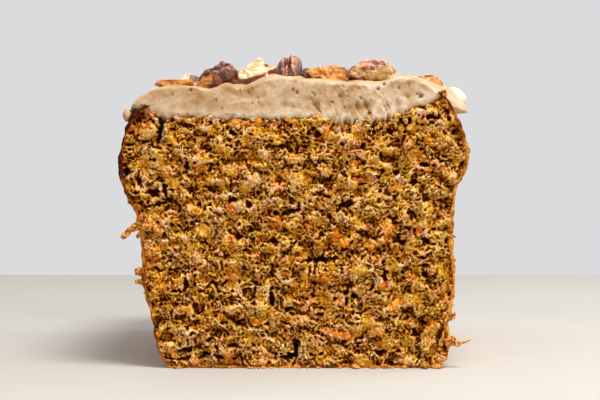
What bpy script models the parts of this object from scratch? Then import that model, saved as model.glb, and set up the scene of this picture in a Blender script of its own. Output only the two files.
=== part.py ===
"""A cut loaf of carrot banana bread with frosting and chopped pecans.

Metres, +Z up. The cut face looks along -Y, the baked end is at +Y, and the loaf rests on z = 0.
The shapes are worked out in millimetres across the cut face, and turned to metres once, by MM.
"""

import math
import random

import bmesh
import bpy
import numpy as np
from mathutils import Euler, Matrix, Vector, noise
from mathutils.bvhtree import BVHTree

MM = 0.001
UP = Vector((0, 0, 1))

# What is left of a loaf baked in an 8.5 by 4.5 inch tin: its length from the cut to the baked end.
LOAF_LENGTH = 150.0
HALF_LENGTH = LOAF_LENGTH / 2

# The walls of the cut face: (height, distance from the middle). They taper to the base as the tin
# does, pinch in at its rim, and swell above it, where the loaf rose out of the tin.
LEFT_WALL = [(0, -47.8), (3, -50.2), (19, -54.4), (30, -57.2), (43, -57.8), (54, -59.2), (62, -63.0),
             (71, -66.2), (80, -65.2), (89, -62.2), (93, -60.0), (95.2, -55.0)]
RIGHT_WALL = [(0, 49.4), (3, 51.8), (16, 53.0), (28, 54.8), (48, 54.4), (60, 54.9), (66, 56.2),
              (71, 58.8), (77, 60.3), (83, 58.9), (90, 56.4), (96, 53.2), (99.9, 50.4)]
# The crumb's top edge on the cut face: (share of the way from left to right, height).
CRUMB_TOP = [(0, 95.2), (0.04, 94.6), (0.085, 92.6), (0.2, 91.8), (0.62, 91.5), (0.74, 91.9),
             (0.82, 93.4), (0.9, 95.3), (0.95, 96.8), (1, 99.9)]
# How much of its height the loaf keeps from the cut (0) to the baked end (1).
HEIGHT_ALONG = [(0, 1.0), (0.3, 1.0), (0.6, 0.985), (0.85, 0.955), (1, 0.9)]
PLAN_CORNER = 21.0

# The frosting on the cut face: (distance from the middle, height of its top).
FROSTING_TOP = [(-64, 98.4), (-57, 99.4), (-54, 100.6), (-46, 101.4), (-39, 101.7), (-33, 100.2),
                (-27, 102.4), (-21, 101.2), (-13, 104.6), (-4, 104.9), (2, 104.3), (19, 103.2), (30, 103.4),
                (34.5, 105.6), (38, 105.3), (45, 103.2), (49, 101.8), (53, 101.0), (64, 99.0)]
FROSTING_OVERHANG = 2.0
FROSTING_EDGE_RADIUS = 8.5
FROSTING_HEM = 91.5
FROSTING_HEM_WAVE = 2.4
FROSTING_HEM_RISE = 4.5
FROSTING_ROOT = 14.0
FROSTING_SWIRL = 1.3
FROSTING_GAP = 0.35
# Tongues that sag below the hem: (side, set back from the cut, drop, half length along the loaf). Where the
# drop is negative, the hem rises.
FROSTING_TONGUES = [(-1, 0.0, 1.5, 4.0), (-1, 52.0, 5.5, 8.0), (-1, 104.0, 3.5, 7.0), (1, 38.0, -4.0, 24.0),
                    (1, 80.0, 7.0, 9.0), (1, 128.0, 3.5, 6.0)]
# Knobs pushed over the edge by the knife: (x, set back from the cut, z, radius along x, y and z).
FROSTING_KNOBS = [(-63.0, 2.4, 91.2, 1.8, 2.2, 2.3), (57.2, 23.0, 97.4, 4.2, 8.0, 4.8)]

# Torn holes in the cut face: (x, z, half width, half height, tilt in degrees, depth).
HOLES = [(-50.8, 86.4, 1.0, 5.2, -12, 9), (-63.2, 71.1, 1.4, 1.8, 0, 4), (-49.3, 63.5, 0.9, 3.8, 12, 5),
         (-51.8, 59.2, 2.2, 0.9, 10, 5), (5.4, 84.8, 1.2, 1.4, 0, 4), (46.4, 90.6, 2.6, 1.1, -8, 5),
         (31.7, 85.4, 1.6, 1.8, 20, 4), (15.8, 59.2, 3.0, 1.6, 20, 6), (-4.7, 56.7, 4.0, 1.2, 5, 6),
         (45.0, 45.9, 1.7, 1.4, 0, 5), (-10.1, 45.9, 1.3, 1.3, 0, 4), (6.5, 39.1, 5.5, 1.0, 2, 5),
         (29.9, 32.6, 0.9, 4.6, 6, 5), (-11.0, 25.0, 0.9, 2.8, 4, 6), (-42.1, 30.4, 1.0, 2.6, 0, 5),
         (-2.2, 6.9, 1.1, 3.8, 0, 8), (-4.6, 4.1, 2.8, 1.2, 10, 8), (28.4, 5.4, 2.0, 1.0, 0, 5),
         (-24.5, 8.3, 1.9, 1.0, 15, 4)]

# Crust flakes torn outwards at the sides: (root x, root z, tip x, tip z, root radius).
FLAKES = [(-54.0, 53.0, -61.8, 50.6, 4.2), (-58.0, 52.2, -65.2, 47.0, 2.4), (-55.5, 50.0, -60.8, 48.2, 2.2),
          (-56.0, 34.6, -60.2, 35.2, 1.8), (-55.0, 31.2, -59.2, 30.4, 1.6), (52.5, 18.4, 55.6, 18.0, 1.8)]
FLAKE_DEPTH = 0.8

# Chopped pecans seen over the cut: (x, set back from the cut, turn, pitch, roll, part, length, width,
# height). part is how much of a half is left along its length and across its width.
SHOWN_PECANS = [
    (-48.0, 8.0, 4, -3, 0, (0.55, 0.6), 26, 13.0, 5.0),
    (-45.2, 21.5, 70, -14, 0, (0.4, 0.5), 24, 12.0, 7.0),
    (-31.4, 5.5, 8, -24, 10, (0.7, 1.0), 21.5, 11.5, 7.0),
    (-18.0, 7.0, -20, -20, -25, (0.5, 1.0), 23, 11.5, 8.0),
    (-12.8, 20.5, 40, -20, 0, (0.3, 0.6), 25, 12.0, 8.0),
    (-4.6, 12.0, 90, -34, 0, (0.5, 1.0), 22, 9.6, 8.4),
    (9.2, 8.0, 3, 2, 178, (0.65, 1.0), 23, 12.5, 8.2),
    (25.0, 7.5, -6, 3, 8, (0.6, 1.0), 24, 13.0, 7.8),
    (46.0, 24.0, 30, 8, 10, (0.32, 1.0), 24, 11.0, 6.0),
]
MORE_PECANS = 21
# Bare frosting near the cut: no more pecans before BARE_BACK, left of and right of these.
BARE_LEFT, BARE_RIGHT, BARE_BACK = -37.0, 26.0, 62.0
PECAN_ROOM = 0.6
PECAN_GAP = 0.3
PECAN_SINK = 1.5
SEED = 7

FRONT_CELLS = 32
LENGTH_CELLS = 14
HEIGHT_CELLS = 24


def curve_through(points):
    """A smooth function through (input, value) points, flat beyond its two ends."""
    at, value = np.array(points, float).T
    slope = np.gradient(value, at)

    def curve(a):
        a = min(max(a, at[0]), at[-1])
        i = int(np.clip(np.searchsorted(at, a, side="right") - 1, 0, len(at) - 2))
        step = at[i + 1] - at[i]
        f = (a - at[i]) / step
        return ((1 + 2 * f) * (1 - f) ** 2 * value[i] + f * f * (3 - 2 * f) * value[i + 1]
                + step * f * (1 - f) * ((1 - f) * slope[i] - f * slope[i + 1]))

    return curve


left_wall = curve_through(LEFT_WALL)
right_wall = curve_through(RIGHT_WALL)
crumb_top = curve_through(CRUMB_TOP)
height_along = curve_through(HEIGHT_ALONG)
frosting_top = curve_through(FROSTING_TOP)


def blend(a, b, share):
    return a + (b - a) * share


def smooth_step(low, high, value):
    share = min(max((value - low) / (high - low), 0.0), 1.0)
    return share * share * (3 - 2 * share)


def wave(x, y, z, size):
    """Smooth noise from -1 to 1 whose bumps are about size mm across."""
    return noise.noise(Vector((x, y, z)) / size)


def rounded(a, b, radius):
    """Where a point a and b mm inside two faces lies once the edge between them is round."""
    if a >= radius or b >= radius:
        return a, b
    p, q = radius - a, radius - b
    return (radius - p * math.sqrt(1 - q * q / (2 * radius * radius)),
            radius - q * math.sqrt(1 - p * p / (2 * radius * radius)))


def plan_point(left, right, far, across, along, corner):
    """A point of a rounded rectangle that is square at the cut and round at the baked end."""
    width = right - left
    x = left + width * across
    y = blend(-HALF_LENGTH, far, along)
    from_side = min(across, 1 - across) * width
    side, back = rounded(from_side, far - y, corner)
    x += (side - from_side) * (1 if across < 0.5 else -1)
    return x, far - back


def loaf_point(across, along, up):
    """The point of the loaf, in mm, for shares from 0 to 1 of its width, length and height."""
    left = left_wall(up * LEFT_WALL[-1][0])
    right = right_wall(up * RIGHT_WALL[-1][0])
    widest = max(x for _, x in RIGHT_WALL) - min(x for _, x in LEFT_WALL)
    far = HALF_LENGTH - (widest - (right - left)) / 2
    x, y = plan_point(left, right, far, across, along, PLAN_CORNER)
    z = up * crumb_top(across) * blend(1, height_along(along), up)
    return Vector((x, y, z))


def crust_relief(point):
    """How far the baked crust stands out of its smooth form, in mm."""
    x, y, z = point
    return 0.5 * wave(x, y, z, 17) + 0.25 * wave(x + 40, y, z, 7)


def crumb_relief(point):
    """How far the torn crumb stands out of the cut plane, in mm."""
    x, _, z = point
    lumps = abs(wave(x * 0.8, 3, z * 1.3, 8)) + 0.5 * wave(x, 11, z, 5)
    return 2.2 * lumps + 0.6 * wave(x, 7, z, 22) - 0.7


def graded_box(name, cells, place):
    """A closed grid in the unit cube, with each of its corners moved by place(x, y, z)."""
    bm = bmesh.new()
    bmesh.ops.create_cube(bm, size=1, matrix=Matrix.Translation((0.5, 0.5, 0.5)))
    for axis, count in enumerate(cells):
        whole = [e for e in bm.edges if abs((e.verts[0].co - e.verts[1].co)[axis]) > 0.5]
        bmesh.ops.subdivide_edges(bm, edges=whole, cuts=count - 1, use_grid_fill=True)
    for vertex in bm.verts:
        vertex.co = place(*vertex.co) * MM
    bmesh.ops.recalc_face_normals(bm, faces=bm.faces)
    return object_of(name, bm)


def object_of(name, bm):
    mesh = bpy.data.meshes.new(name)
    bm.to_mesh(mesh)
    bm.free()
    obj = bpy.data.objects.new(name, mesh)
    bpy.context.scene.collection.objects.link(obj)
    return obj


def collection_of(name):
    made = bpy.data.collections.new(name)
    bpy.context.scene.collection.children.link(made)
    return made


def move_to(collection, obj):
    for old in list(obj.users_collection):
        old.objects.unlink(obj)
    collection.objects.link(obj)


def hide_as_helper(obj):
    obj.hide_render = True
    obj.display_type = "WIRE"


def material(name, colour, roughness):
    made = bpy.data.materials.new(name)
    made.use_nodes = True
    shader = made.node_tree.nodes["Principled BSDF"]
    shader.inputs["Base Color"].default_value = (*colour, 1)
    shader.inputs["Roughness"].default_value = roughness
    shader.inputs["Metallic"].default_value = 0.0
    return made


def apply_boolean(obj, collection, operation):
    """Joins or cuts the collection's objects, applies that, and removes them."""
    modifier = obj.modifiers.new(operation.lower(), "BOOLEAN")
    modifier.operation = operation
    modifier.operand_type = "COLLECTION"
    modifier.collection = collection
    modifier.solver = "EXACT"
    bpy.context.view_layer.update()
    graph = bpy.context.evaluated_depsgraph_get()
    result = bpy.data.meshes.new_from_object(obj.evaluated_get(graph))
    obj.modifiers.clear()
    obj.data = result
    for helper in list(collection.objects):
        bpy.data.objects.remove(helper)
    bpy.data.collections.remove(collection)


def hole_cutters():
    """One rough ellipsoid for each torn hole, set into the cut face."""
    cutters = collection_of("hole_cutters")
    for number, (x, z, half_width, half_height, tilt, depth) in enumerate(HOLES):
        bm = bmesh.new()
        bmesh.ops.create_icosphere(bm, subdivisions=1, radius=1)
        for vertex in bm.verts:
            vertex.co *= 1 + 0.22 * wave(*(vertex.co * 2), 1 + 0.1 * number)
        shape = Matrix.Diagonal((half_width * MM, depth * MM, half_height * MM, 1))
        turn = Matrix.Rotation(math.radians(tilt), 4, "Y")
        middle = Vector((x, -HALF_LENGTH, z)) * MM
        bm.transform(Matrix.Translation(middle) @ turn @ shape)
        cutter = object_of(f"hole_{number:02d}", bm)
        move_to(cutters, cutter)
        hide_as_helper(cutter)
    return cutters


def crust_flakes():
    """Tapered flakes that stand out of the side walls beside the cut."""
    flakes = collection_of("crust_flakes")
    for number, (root_x, root_z, tip_x, tip_z, radius) in enumerate(FLAKES):
        y = -HALF_LENGTH + FLAKE_DEPTH + radius
        root, tip = Vector((root_x, y, root_z)) * MM, Vector((tip_x, y, tip_z)) * MM
        along = tip - root
        bm = bmesh.new()
        bmesh.ops.create_cone(bm, cap_ends=True, segments=7, radius1=radius * MM,
                              radius2=0.4 * radius * MM, depth=along.length)
        turn = along.to_track_quat("Z", "Y").to_matrix().to_4x4()
        bm.transform(Matrix.Translation((root + tip) / 2) @ turn)
        flake = object_of(f"flake_{number}", bm)
        move_to(flakes, flake)
        hide_as_helper(flake)
    return flakes


def smooth_loaf(name, relief):
    """The loaf without its holes. relief adds the torn face to the smooth crust."""

    def place(across, along, up):
        point = loaf_point(across, along, up)
        if up == 0:
            return point
        outward = Vector((across - 0.5, along - 0.5, up - 0.5)).normalized()
        point += outward * crust_relief(point) * min(1.0, point.z / 12)
        if along == 0:
            point.y = -HALF_LENGTH
            if relief:
                inside = min(across, 1 - across, up, 1 - up)
                point.y -= crumb_relief(point) * smooth_step(0, 0.05, inside)
        return point

    return graded_box(name, (FRONT_CELLS, LENGTH_CELLS, HEIGHT_CELLS), place)


def flatten_base(obj):
    """One flat face in place of the grid that the loaf rests on."""
    bm = bmesh.new()
    bm.from_mesh(obj.data)
    base = [f for f in bm.faces if all(abs(v.co.z) < 1e-7 for v in f.verts)]
    inner = [e for e in bm.edges if all(f in base for f in e.link_faces)]
    bmesh.ops.dissolve_edges(bm, edges=inner, use_verts=True)
    bm.to_mesh(obj.data)
    bm.free()


def keep_largest_body(obj):
    """Drops the scraps that a Boolean leaves beside the main body."""
    bm = bmesh.new()
    bm.from_mesh(obj.data)
    unseen = set(bm.faces)
    bodies = []
    while unseen:
        body = set()
        front = {unseen.pop()}
        while front:
            body |= front
            joined = [edge for face in front for edge in face.edges if len(edge.link_faces) == 2]
            front = {face for edge in joined for face in edge.link_faces} & unseen
            unseen -= front
        bodies.append(body)
    largest = max(bodies, key=len)
    scraps = [face for body in bodies if body is not largest for face in body]
    bmesh.ops.delete(bm, geom=scraps, context="FACES")
    bm.to_mesh(obj.data)
    bm.free()


def make_cake():
    cake = smooth_loaf("cake", relief=True)
    apply_boolean(cake, crust_flakes(), "UNION")
    apply_boolean(cake, hole_cutters(), "DIFFERENCE")
    flatten_base(cake)
    cake.data.materials.clear()
    cake.data.materials.append(material("baked_crumb", (0.36, 0.15, 0.03), 0.85))
    return cake


def swirl(x, y):
    """The knife's sweeps over the top, in mm, which fade out towards the cut."""
    sweep = math.sin((y + 0.35 * x + 9 * math.sin(x / 19)) / 6.2)
    lift = FROSTING_SWIRL * sweep + 0.8 * wave(x, y, 5, 20)
    return lift * smooth_step(2, 26, y + HALF_LENGTH)


def frosting_point(across, along, up):
    """The point of the frosting before the loaf is cut out of it, in mm."""
    back_from_cut = along * LOAF_LENGTH
    left = min(x for _, x in LEFT_WALL) + 3.6 - FROSTING_OVERHANG * smooth_step(0, 30, back_from_cut)
    right_at_cut = RIGHT_WALL[-1][1] + 1.8
    right_behind = max(x for _, x in RIGHT_WALL) + 0.5 * FROSTING_OVERHANG
    right = blend(right_at_cut, right_behind, smooth_step(2, 16, back_from_cut))
    far = HALF_LENGTH - 1.5
    x, y = plan_point(left, right, far, across, along, PLAN_CORNER)
    from_side = min(across, 1 - across) * (right - left)
    hem = FROSTING_HEM * height_along(along) + FROSTING_HEM_WAVE * wave(x, y, 3, 16)
    for side, middle, drop, half in FROSTING_TONGUES:
        if (across - 0.5) * side > 0:
            hem -= drop * math.exp(-((back_from_cut - middle) / half) ** 2)
    hem += FROSTING_HEM_RISE * smooth_step(0.75, 1, across) * (1 - smooth_step(4, 16, back_from_cut))
    hem -= FROSTING_ROOT * smooth_step(3, 12, min(from_side, far - y))
    top = frosting_top(x) * height_along(along) + swirl(x, y)
    side, below = rounded(from_side, (1 - up) * (top - hem), FROSTING_EDGE_RADIUS)
    x += (side - from_side) * (1 if across < 0.5 else -1)
    z = top - below
    from_end = far - y
    end, lower = rounded(max(from_end, 0.0), top - z, FROSTING_EDGE_RADIUS)
    return Vector((x, y - (end - max(from_end, 0.0)), top - lower))


def frosting_knobs():
    """Rounded lumps that join the frosting at its edge."""
    knobs = collection_of("frosting_knobs")
    for number, (x, back, z, *radii) in enumerate(FROSTING_KNOBS):
        bm = bmesh.new()
        bmesh.ops.create_icosphere(bm, subdivisions=2, radius=MM)
        middle = Vector((x, back - HALF_LENGTH, z)) * MM
        bm.transform(Matrix.Translation(middle) @ Matrix.Diagonal((*radii, 1)))
        knob = object_of(f"knob_{number}", bm)
        move_to(knobs, knob)
        hide_as_helper(knob)
    return knobs


def make_frosting():
    """The frosting: a rounded slab over the top, with the loaf cut out of it."""
    frosting = graded_box("frosting", (24, 16, 5), frosting_point)
    apply_boolean(frosting, frosting_knobs(), "UNION")
    cutters = collection_of("loaf_cutter")
    loaf = smooth_loaf("loaf_cutter", relief=False)
    bm = bmesh.new()
    bm.from_mesh(loaf.data)
    bm.normal_update()
    for vertex in bm.verts:
        vertex.co += vertex.normal * FROSTING_GAP * MM
    bm.to_mesh(loaf.data)
    bm.free()
    move_to(cutters, loaf)
    hide_as_helper(loaf)
    apply_boolean(frosting, cutters, "DIFFERENCE")
    keep_largest_body(frosting)
    frosting.data.materials.clear()
    frosting.data.materials.append(material("frosting", (0.62, 0.42, 0.25), 0.55))
    return frosting


def pecan_surface(direction, length, width, height):
    """The surface of half a pecan, in mm, in a direction from its middle. Its back is up."""
    along, side, up = direction
    taper = (1 - 0.3 * along * along) * max(1 - along * along, 0.04) ** -0.17
    groove = 0.20 * math.exp(-((side / 0.2) ** 2)) + 0.07 * math.cos(side * 16)
    if up > 0:
        rise = height * 0.62 * up * (1 - groove)
    else:
        rise = height * 0.38 * up * (1 - 0.5 * math.exp(-((side / 0.3) ** 2)))
    return Vector((along * length / 2, side * width / 2 * taper, rise))


def make_pecan(name, part, length, width, height):
    """A piece of half a pecan, cut across and along as part says."""
    bm = bmesh.new()
    bmesh.ops.create_uvsphere(bm, u_segments=12, v_segments=7, radius=1,
                              matrix=Matrix.Rotation(math.pi / 2, 4, "Y"))
    for vertex in bm.verts:
        vertex.co = pecan_surface(vertex.co.copy(), length, width, height) * MM
    kept_along, kept_across = part
    breaks = [((blend(-0.5, 0.5, kept_along) * length, 0, 0), (1, 0.25, 0.15), kept_along),
              ((0, blend(-0.5, 0.5, kept_across) * width, 0), (0.1, 1, 0.2), kept_across)]
    for point, normal, kept in breaks:
        if kept < 1:
            parts = bm.verts[:] + bm.edges[:] + bm.faces[:]
            bmesh.ops.bisect_plane(bm, geom=parts, plane_co=Vector(point) * MM, plane_no=normal,
                                   clear_outer=True)
            bmesh.ops.holes_fill(bm, edges=[e for e in bm.edges if e.is_boundary])
    middle = sum((v.co for v in bm.verts), Vector()) / len(bm.verts)
    bmesh.ops.translate(bm, verts=bm.verts, vec=-middle)
    bmesh.ops.recalc_face_normals(bm, faces=bm.faces)
    return object_of(name, bm)


def tree_of(obj):
    """The object's surface and its corners, in world space."""
    corners = [obj.matrix_world @ v.co for v in obj.data.vertices]
    return BVHTree.FromPolygons(corners, [p.vertices[:] for p in obj.data.polygons]), corners


def room_below(obj, ground, ground_corners):
    """The least height between an object and what lies below it."""
    bpy.context.view_layer.update()
    surface, corners = tree_of(obj)
    room = []
    for corner in corners:
        hit = ground.ray_cast(corner + UP * 0.1, -UP)[0]
        if hit is not None:
            room.append(corner.z - hit.z)
    for corner in ground_corners:
        hit = surface.ray_cast(Vector((corner.x, corner.y, -1)), UP)[0]
        top_here = ground.ray_cast(corner + UP * 0.1, -UP)[0]
        if hit is not None and top_here is not None:
            room.append(hit.z - top_here.z)
    return min(room)


def press_in(obj, ground, ground_corners):
    """Rests an object on the frosting with its underside cut flat, as if it were pressed in."""
    obj.location.z -= room_below(obj, ground, ground_corners) + PECAN_SINK * MM
    bpy.context.view_layer.update()
    below, normal = ground.ray_cast(obj.matrix_world.translation + UP * 0.1, -UP)[:2]
    to_local = obj.matrix_world.inverted()
    bm = bmesh.new()
    bm.from_mesh(obj.data)
    bmesh.ops.bisect_plane(bm, geom=bm.verts[:] + bm.edges[:] + bm.faces[:], plane_co=to_local @ below,
                           plane_no=to_local.to_3x3() @ normal, clear_inner=True)
    bmesh.ops.holes_fill(bm, edges=[e for e in bm.edges if e.is_boundary])
    bmesh.ops.recalc_face_normals(bm, faces=bm.faces)
    bm.to_mesh(obj.data)
    bm.free()
    obj.location.z -= room_below(obj, ground, ground_corners) - PECAN_GAP * MM


def reach(part, length, width, *_):
    """How far from its middle a piece of pecan spreads, in mm, with room to spare."""
    return max(part[0] * length, part[1] * width) / 2 + PECAN_ROOM


def is_bare(spot):
    return spot.y < BARE_BACK and not BARE_LEFT < spot.x < BARE_RIGHT


def is_taken(spot, radius, taken):
    return any((spot - other).length < radius + other_radius for other, other_radius in taken)


def scattered_pecans():
    """The pecans behind the row that the cut shows: the same kinds of piece, spread evenly."""
    draw = random.Random(SEED)
    parts = [(0.5, 1.0), (0.65, 1.0), (0.6, 0.62), (0.38, 1.0), (0.96, 1.0)]
    taken = [(Vector((x, back)), reach(*size)) for x, back, _, _, _, *size in SHOWN_PECANS]
    for number in range(MORE_PECANS):
        part = parts[number % len(parts)]
        size = (draw.uniform(22, 26), draw.uniform(11.5, 13.5), draw.uniform(6.2, 8.6))
        upside_down = 180 if draw.random() < 0.3 else 0
        tilt = (draw.uniform(0, 360), draw.uniform(-14, 14), upside_down + draw.uniform(-22, 22))
        radius = reach(part, *size)
        spot = None
        while spot is None or is_bare(spot) or is_taken(spot, radius, taken):
            spot = Vector((draw.uniform(-51, 48), draw.uniform(17, LOAF_LENGTH - 16)))
        taken.append((spot, radius))
        yield spot.x, spot.y, *tilt, part, *size


def make_pecans(frosting):
    skin = material("pecan", (0.30, 0.12, 0.05), 0.5)
    ground, ground_corners = tree_of(frosting)
    pieces = []
    listed = [*SHOWN_PECANS, *scattered_pecans()]
    for number, (x, back, turn, pitch, roll, part, *size) in enumerate(listed, start=1):
        pecan = make_pecan(f"pecan_{number:02d}", part, *size)
        pecan.data.materials.append(skin)
        pecan.rotation_euler = Euler([math.radians(a) for a in (roll, pitch, turn)])
        pecan.location = Vector((x, -HALF_LENGTH + back, 150)) * MM
        press_in(pecan, ground, ground_corners)
        pieces.append(pecan)
    return pieces


def centre_over_origin(objects):
    """Moves everything so that the middle of its bounding box is over the origin."""
    bpy.context.view_layer.update()
    corners = [o.matrix_world @ v.co for o in objects for v in o.data.vertices]
    for axis in (0, 1):
        values = [c[axis] for c in corners]
        middle = (min(values) + max(values)) / 2
        for obj in objects:
            obj.location[axis] -= middle


def shade(obj):
    obj.data.shade_smooth()
    obj.data.set_sharp_from_angle(angle=math.radians(40))


def main():
    for old in list(bpy.data.objects):
        bpy.data.objects.remove(old)
    loaf = collection_of("banana_bread")
    cake = make_cake()
    frosting = make_frosting()
    pieces = [cake, frosting, *make_pecans(frosting)]
    centre_over_origin(pieces)
    for piece in pieces:
        shade(piece)
        move_to(loaf, piece)


main()
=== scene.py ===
"""The looks of a cut loaf of carrot banana bread with frosting and chopped pecans.

Shapes are worked out in millimetres, with the middle of the cut's plan at x = 0 and the cut plane at
y = CUT. They are moved to their place in the frame, in metres, when a mesh is made.
"""

import math
import random

import bmesh
import bpy
import numpy as np
from mathutils import Euler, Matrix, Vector, noise

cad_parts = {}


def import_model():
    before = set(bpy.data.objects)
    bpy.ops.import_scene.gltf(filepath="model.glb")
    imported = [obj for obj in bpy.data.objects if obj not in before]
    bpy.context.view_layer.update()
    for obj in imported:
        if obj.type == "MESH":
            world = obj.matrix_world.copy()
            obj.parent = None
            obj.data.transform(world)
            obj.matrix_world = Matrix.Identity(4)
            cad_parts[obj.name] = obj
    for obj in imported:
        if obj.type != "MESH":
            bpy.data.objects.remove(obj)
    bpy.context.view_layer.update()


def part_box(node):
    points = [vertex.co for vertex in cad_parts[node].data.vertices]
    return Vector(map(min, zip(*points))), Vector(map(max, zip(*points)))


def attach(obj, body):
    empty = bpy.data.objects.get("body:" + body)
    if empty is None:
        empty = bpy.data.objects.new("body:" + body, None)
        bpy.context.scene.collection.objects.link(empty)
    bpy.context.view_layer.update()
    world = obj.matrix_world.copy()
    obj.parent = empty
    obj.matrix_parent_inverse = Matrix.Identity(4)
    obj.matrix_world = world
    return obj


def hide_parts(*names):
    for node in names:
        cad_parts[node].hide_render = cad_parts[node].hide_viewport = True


MM = 0.001
# Where the middle of the cut's plan lies in the frame, in mm.
ORIGIN = np.array((2.528, 0.711, 0.0))

# The loaf's form, as its solid has it.
LOAF_LENGTH = 150.0
HALF_LENGTH = LOAF_LENGTH / 2
CUT = -HALF_LENGTH
LEFT_WALL = [
    (0, -47.8), (3, -50.2), (19, -54.4), (30, -57.2), (43, -57.8), (54, -59.2), (62, -63.0), (71, -66.2),
    (80, -65.2), (89, -62.2), (93, -60.0), (95.2, -55.0),
]
RIGHT_WALL = [
    (0, 49.4), (3, 51.8), (16, 53.0), (28, 54.8), (48, 54.4), (60, 54.9), (66, 56.2), (71, 58.8),
    (77, 60.3), (83, 58.9), (90, 56.4), (96, 53.2), (99.9, 50.4),
]
CRUMB_TOP = [
    (0, 95.2), (0.04, 94.6), (0.085, 92.6), (0.2, 91.8), (0.62, 91.5), (0.74, 91.9), (0.82, 93.4),
    (0.9, 95.3), (0.95, 96.8), (1, 99.9),
]
HEIGHT_ALONG = [(0, 1.0), (0.3, 1.0), (0.6, 0.985), (0.85, 0.955), (1, 0.9)]
PLAN_CORNER = 21.0

# The frosting's form, as its solid has it.
FROSTING_TOP = [
    (-64, 98.4), (-57, 99.4), (-54, 100.6), (-46, 101.4), (-39, 101.7), (-33, 100.2), (-27, 102.4),
    (-21, 101.2), (-13, 104.6), (-4, 104.9), (2, 104.3), (19, 103.2), (30, 103.4), (34.5, 105.6),
    (38, 105.3), (45, 103.2), (49, 101.8), (53, 101.0), (64, 99.0),
]
FROSTING_OVERHANG = 2.0
FROSTING_EDGE_RADIUS = 8.5
FROSTING_HEM = 91.5
FROSTING_HEM_WAVE = 2.4
FROSTING_HEM_RISE = 4.5
FROSTING_ROOT = 14.0
FROSTING_SWIRL = 1.3
FROSTING_TONGUES = [
    (-1, 0.0, 1.5, 4.0), (-1, 52.0, 5.5, 8.0), (-1, 104.0, 3.5, 7.0), (1, 38.0, -4.0, 24.0),
    (1, 80.0, 7.0, 9.0), (1, 128.0, 3.5, 6.0),
]
FROSTING_KNOBS = [(-63.0, 2.4, 91.2, 1.8, 2.2, 2.3), (57.2, 23.0, 97.4, 4.2, 8.0, 4.8)]
# How light the two lobes are painted: the left one darker as painted shade, the right one near white as
# painted light where it is strongly lit.
KNOB_PAINTED_LIGHT = (0.42, 0.95)

# The crumb: holes as (x, z, half width, half height, tilt in degrees, depth). The first ones are in the
# solid too.
HOLES = [
    (-50.8, 86.4, 1.0, 5.2, -12, 9), (-63.2, 71.1, 1.4, 1.8, 0, 4), (-49.3, 63.5, 0.9, 3.8, 12, 5),
    (-51.8, 59.2, 2.2, 0.9, 10, 5), (5.4, 84.8, 1.2, 1.4, 0, 4), (46.4, 90.6, 2.6, 1.1, -8, 5),
    (31.7, 85.4, 1.6, 1.8, 20, 4), (15.8, 59.2, 3.0, 1.6, 20, 6), (-4.7, 56.7, 4.0, 1.2, 5, 6),
    (45.0, 45.9, 1.7, 1.4, 0, 5), (-10.1, 45.9, 1.3, 1.3, 0, 4), (6.5, 39.1, 5.5, 1.0, 2, 5),
    (29.9, 32.6, 0.9, 4.6, 6, 5), (-11.0, 25.0, 0.9, 2.8, 4, 6), (-42.1, 30.4, 1.0, 2.6, 0, 5),
    (-2.2, 6.9, 1.1, 3.8, 0, 8), (-4.6, 4.1, 2.8, 1.2, 10, 8), (28.4, 5.4, 2.0, 1.0, 0, 5),
    (-24.5, 8.3, 1.9, 1.0, 15, 4),
]
SMALL_HOLES = [
    (-33.5, 10.3, 1.5, 0.8, 25, 4), (-34.9, 5.2, 1.5, 0.9, 0, 4), (-29.9, 4.1, 1.8, 1.0, -20, 4),
    (20.2, 8.8, 1.3, 0.7, 0, 3), (44.3, 73.3, 1.4, 0.8, 10, 4), (34.2, 70.7, 1.5, 0.8, -20, 4),
    (40.0, 66.8, 0.8, 1.6, 0, 4), (52.9, 90.2, 1.0, 0.9, 0, 4), (-59.0, 67.9, 1.2, 1.8, 20, 4),
    (-25.2, 60.7, 1.9, 1.0, 15, 5), (-19.1, 58.9, 1.7, 1.0, 0, 4), (-33.1, 64.3, 1.6, 0.9, -30, 4),
    (-41.8, 73.3, 0.7, 1.9, 0, 4), (-16.6, 30.8, 1.1, 0.8, 0, 4), (-5.0, 21.1, 1.3, 0.7, 15, 4),
    (5.8, 19.3, 1.6, 0.6, 0, 4), (19.1, 25.7, 1.4, 0.9, 0, 4), (44.3, 33.7, 1.0, 1.2, 0, 4),
]
# The browned upper left corner of the cut: (x, z).
CORNER = (-59.0, 94.0)
# Frosting smeared down the side of the long slot: (x, z) of its top and of its foot, and its half width.
SLOT_SMEAR = (-48.9, 93.5, -50.2, 80.5, 0.75)
CRUMB_COLUMNS = 352
CRUMB_ROWS = 268
CRUMB_THICKNESS = 7.0
RIM = 0.4

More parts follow.
